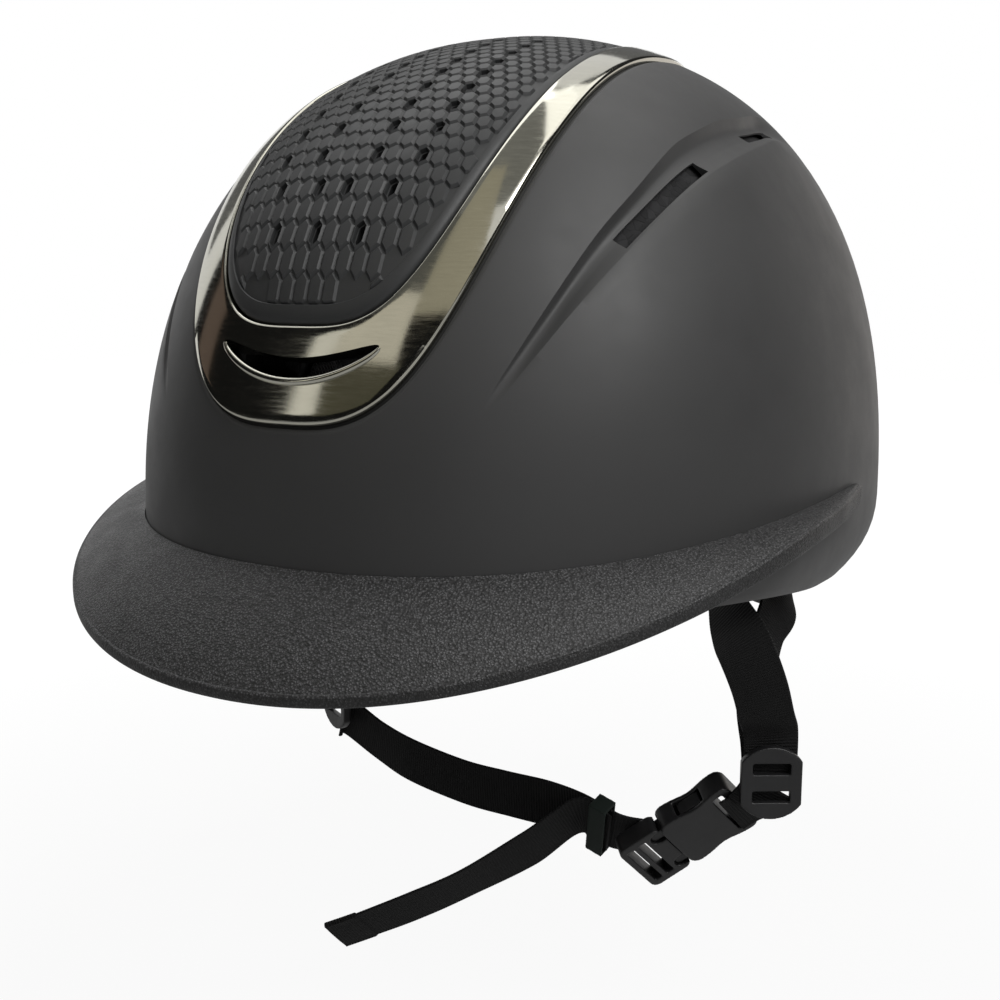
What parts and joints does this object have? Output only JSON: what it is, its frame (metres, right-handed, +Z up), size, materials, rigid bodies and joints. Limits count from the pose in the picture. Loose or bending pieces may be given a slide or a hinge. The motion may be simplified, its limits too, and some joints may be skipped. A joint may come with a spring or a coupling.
{
  "type": "riding helmet",
  "caption": "Riding helmet with a sloping brim, a vented crown panel in a bright bezel, a foam liner, a dial-adjusted cradle and a chin harness with a side-release buckle.",
  "frame": {"origin": "middle of the head opening, level with the widest ring of the shell", "axes": "+Z up, -Y forward over the brim, +X to the wearer's left"},
  "size_m": [0.242, 0.3169, 0.3288],
  "materials": {
    "shell_soft_black": "soft-touch matte",
    "foam_black": "moulded foam beads",
    "binding_black": "smooth binding tape",
    "brim_grain": "coarse speckled grain",
    "bezel_metal": "warm brushed mirror",
    "panel_black": "satin with raised cells",
    "pad_fabric": "knitted mesh",
    "webbing_black": "ribbed webbing",
    "buckle_black": "satin moulding",
    "keeper_elastic": "woven elastic",
    "cradle_black": "satin moulding",
    "gear_plastic": "natural acetal",
    "spring_steel": "plain",
    "dark_metal": "blackened"
  },
  "bodies": {
    "helmet": {"outer_shell": "shell_soft_black", "eps_liner": "foam_black", "liner_edge_trim": "binding_black", "visor_brim": "brim_grain", "vent_trim": "bezel_metal", "hex_vent_panel": "panel_black", "brow_pad": "pad_fabric", "crown_pad": "pad_fabric", "left_side_pad": "pad_fabric", "right_side_pad": "pad_fabric", "harness_anchors": "dark_metal", "left_front_strap": "webbing_black", "left_rear_strap": "webbing_black", "right_front_strap": "webbing_black", "right_rear_strap": "webbing_black", "left_chin_strap": "webbing_black", "buckle_socket": "buckle_black", "temple_pins": "dark_metal"},
    "left_divider": {"left_divider": "buckle_black"},
    "right_divider": {"right_divider": "buckle_black"},
    "plug": {"buckle_plug": "buckle_black", "right_chin_strap": "webbing_black", "strap_tail": "webbing_black"},
    "keeper": {"strap_keeper": "keeper_elastic"},
    "upper_prong": {"upper_prong": "buckle_black"},
    "lower_prong": {"lower_prong": "buckle_black"},
    "cradle": {"cradle_housing": "cradle_black", "housing_cover": "cradle_black", "ratchet_spring": "spring_steel", "nape_pad": "pad_fabric", "left_fit_arm": "cradle_black", "right_fit_arm": "cradle_black"},
    "dial": {"fit_dial": "cradle_black", "drive_pinion": "gear_plastic"},
    "left_rack": {"left_rack": "cradle_black"},
    "right_rack": {"right_rack": "cradle_black"}
  },
  "joints": [
    {"name": "left_divider_slide", "type": "slide", "parent": "helmet", "child": "left_divider", "axis": [0, 0, 1], "range_m": [-0.004, 0.004], "deforming": ["left_front_strap", "left_rear_strap", "left_chin_strap"]},
    {"name": "right_divider_slide", "type": "slide", "parent": "helmet", "child": "right_divider", "axis": [0, 0, 1], "range_m": [-0.004, 0.004], "deforming": ["right_front_strap", "right_rear_strap"]},
    {"name": "buckle_release", "type": "slide", "parent": "helmet", "child": "plug", "axis": [-0.734, -0.3117, -0.6033], "range_m": [0, 0.03], "deforming": ["right_chin_strap"]},
    {"name": "keeper_slide", "type": "slide", "parent": "plug", "child": "keeper", "axis": [0.9578, -0.0998, -0.2694], "range_m": [-0.003, 0.003], "deforming": ["strap_tail"]},
    {"name": "upper_prong_squeeze", "type": "hinge", "parent": "plug", "child": "upper_prong", "pos_m": [0.05285, -0.01437, -0.11853], "axis": [-0.612, 0.6888, 0.3887], "range_deg": [0, 7], "stiffness_Nm_per_rad": 0.3},
    {"name": "lower_prong_squeeze", "type": "hinge", "parent": "plug", "child": "lower_prong", "pos_m": [0.05774, -0.0035, -0.13009], "axis": [0.612, -0.6888, -0.3887], "range_deg": [0, 7], "stiffness_Nm_per_rad": 0.3},
    {"name": "cradle_tilt", "type": "hinge", "parent": "helmet", "child": "cradle", "pos_m": [0, -0.008, -0.016], "axis": [1, 0, 0], "range_deg": [-8, 6]},
    {"name": "dial_spin", "type": "hinge", "parent": "cradle", "child": "dial", "pos_m": [0, 0.09133, -0.046], "axis": [0, 1, 0], "range_deg": [0, 143], "deforming": ["left_fit_arm", "right_fit_arm"]},
    {"name": "left_rack_slide", "type": "slide", "parent": "cradle", "child": "left_rack", "axis": [-1, 0, 0], "range_m": [0, 0.01]},
    {"name": "right_rack_slide", "type": "slide", "parent": "cradle", "child": "right_rack", "axis": [1, 0, 0], "range_m": [0, 0.01]}
  ],
  "couplings": [
    {"joint": "left_rack_slide", "follows": "dial_spin", "m_per_rad": 0.004},
    {"joint": "right_rack_slide", "follows": "dial_spin", "m_per_rad": 0.004}
  ]
}
